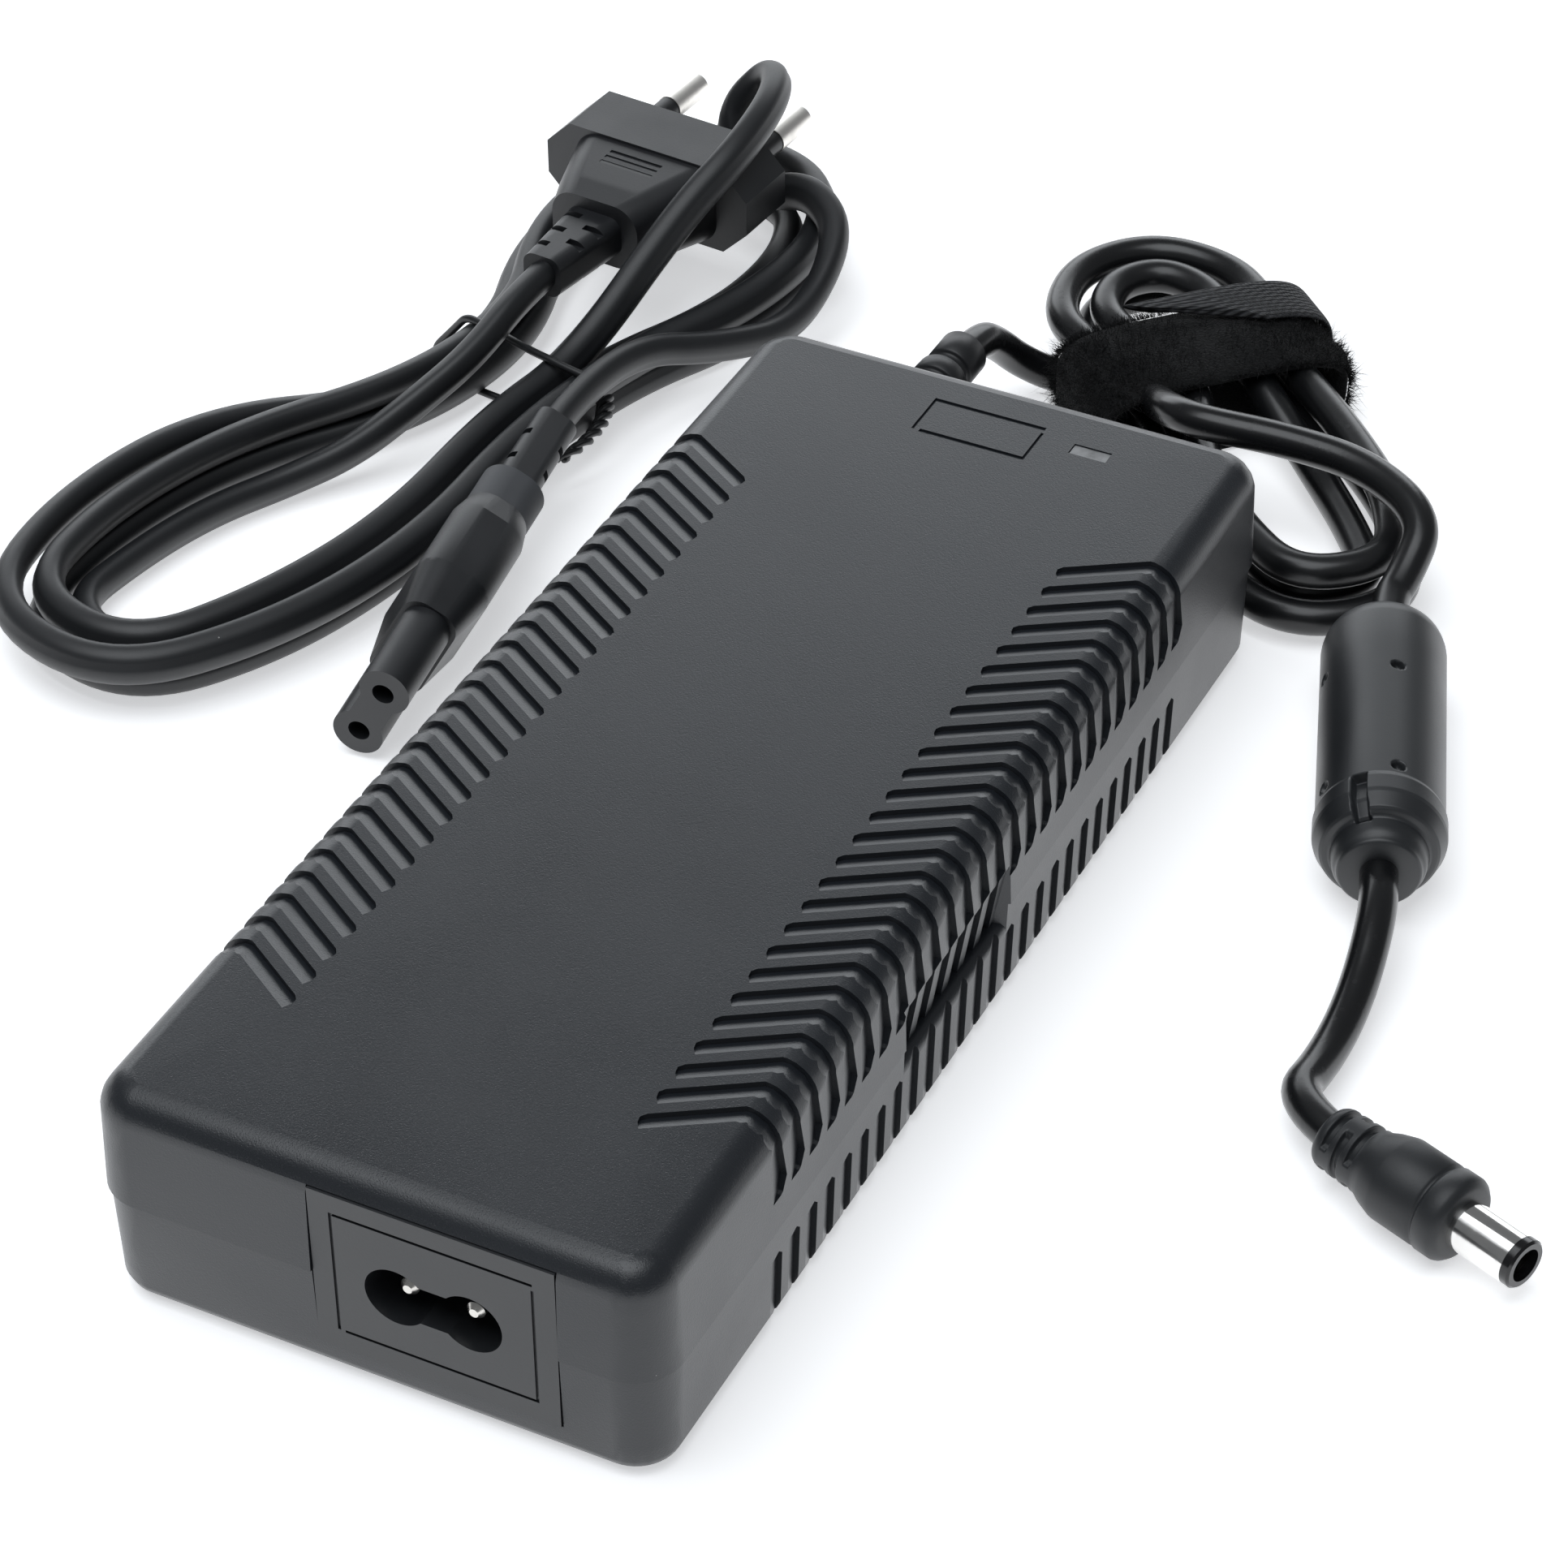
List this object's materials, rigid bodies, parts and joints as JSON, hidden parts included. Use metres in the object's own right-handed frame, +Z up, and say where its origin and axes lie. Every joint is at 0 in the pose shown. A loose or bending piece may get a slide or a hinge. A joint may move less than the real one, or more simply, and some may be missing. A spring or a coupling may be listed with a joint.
{
  "type": "laptop power adapter",
  "caption": "Ribbed two-shell power supply brick with a figure-8 inlet, a strapped low-voltage cord with ferrite and barrel plug, and a bundled two-pin mains lead.",
  "frame": {"origin": "bottom centre of the brick, on the surface it rests on", "axes": "+Z up, +Y from the inlet end to the cord end, +X to the side where the low-voltage cord lies"},
  "size_m": [0.2379, 0.2537, 0.032],
  "materials": {
    "shell_black": "matte",
    "insert_black": "satin",
    "contact_metal": "polished",
    "lens_clear": "satin",
    "relief_rubber": "matte",
    "dc_cord_black": "gloss",
    "mains_cord_black": "satin",
    "strap_fabric": "matte",
    "ferrite_shell": "satin",
    "ferrite_ceramic": "matte",
    "barrel_metal": "polished",
    "plug_moulding": "satin",
    "tip_black": "gloss",
    "connector_moulding": "satin",
    "connector_band_matte": "matte",
    "mains_pin_metal": "satin",
    "tie_plastic": "satin",
    "board_laminate": "satin",
    "sheet_film": "matte",
    "component_black": "matte",
    "capacitor_sleeve": "satin",
    "film_capacitor_yellow": "matte",
    "choke_winding": "gloss",
    "heatsink_aluminium": "satin",
    "screw_steel": "satin",
    "transformer_ferrite": "matte",
    "transformer_tape": "satin",
    "lamp_green": "gloss",
    "lead_copper": "satin"
  },
  "bodies": {
    "adapter": {"top_shell": "shell_black", "bottom_shell": "shell_black", "inlet_socket": "insert_black", "inlet_pins": "contact_metal", "indicator_lens": "lens_clear", "dc_strain_relief": "relief_rubber", "circuit_board": "board_laminate", "insulating_sheet": "sheet_film", "inlet_fuse": "component_black", "x_capacitor": "film_capacitor_yellow", "filter_choke": "choke_winding", "bridge_rectifier": "component_black", "bulk_capacitor": "capacitor_sleeve", "primary_heatsink": "heatsink_aluminium", "secondary_heatsink": "heatsink_aluminium", "switching_transistor": "component_black", "rectifier_diode": "component_black", "heatsink_screws": "screw_steel", "transformer_core": "transformer_ferrite", "transformer_winding": "transformer_tape", "output_capacitors": "capacitor_sleeve", "optocoupler": "component_black", "indicator_lamp": "lamp_green", "output_leads": "lead_copper", "dc_cord_lead": "dc_cord_black", "dc_cord_hank": "dc_cord_black", "dc_cord_link": "dc_cord_black", "dc_cord_tail": "dc_cord_black", "cable_strap": "strap_fabric", "ferrite_housing": "ferrite_shell", "ferrite_core": "ferrite_ceramic", "dc_plug_body": "plug_moulding", "dc_plug_barrel": "barrel_metal", "dc_plug_tip": "tip_black", "dc_plug_pin": "barrel_metal"},
    "mains_lead": {"mains_cord_plug_end": "mains_cord_black", "mains_cord_hank": "mains_cord_black", "mains_cord_over": "mains_cord_black", "cable_tie": "tie_plastic", "plug_body": "connector_moulding", "plug_pins": "mains_pin_metal", "plug_pin_sleeves": "tip_black", "connector_body": "connector_moulding", "connector_contacts": "contact_metal", "connector_band": "connector_band_matte"}
  },
  "joints": [
    {"name": "mains_lead_lift", "type": "slide", "parent": "adapter", "child": "mains_lead", "axis": [0, 0, 1], "range_m": [0, 0.08]}
  ]
}
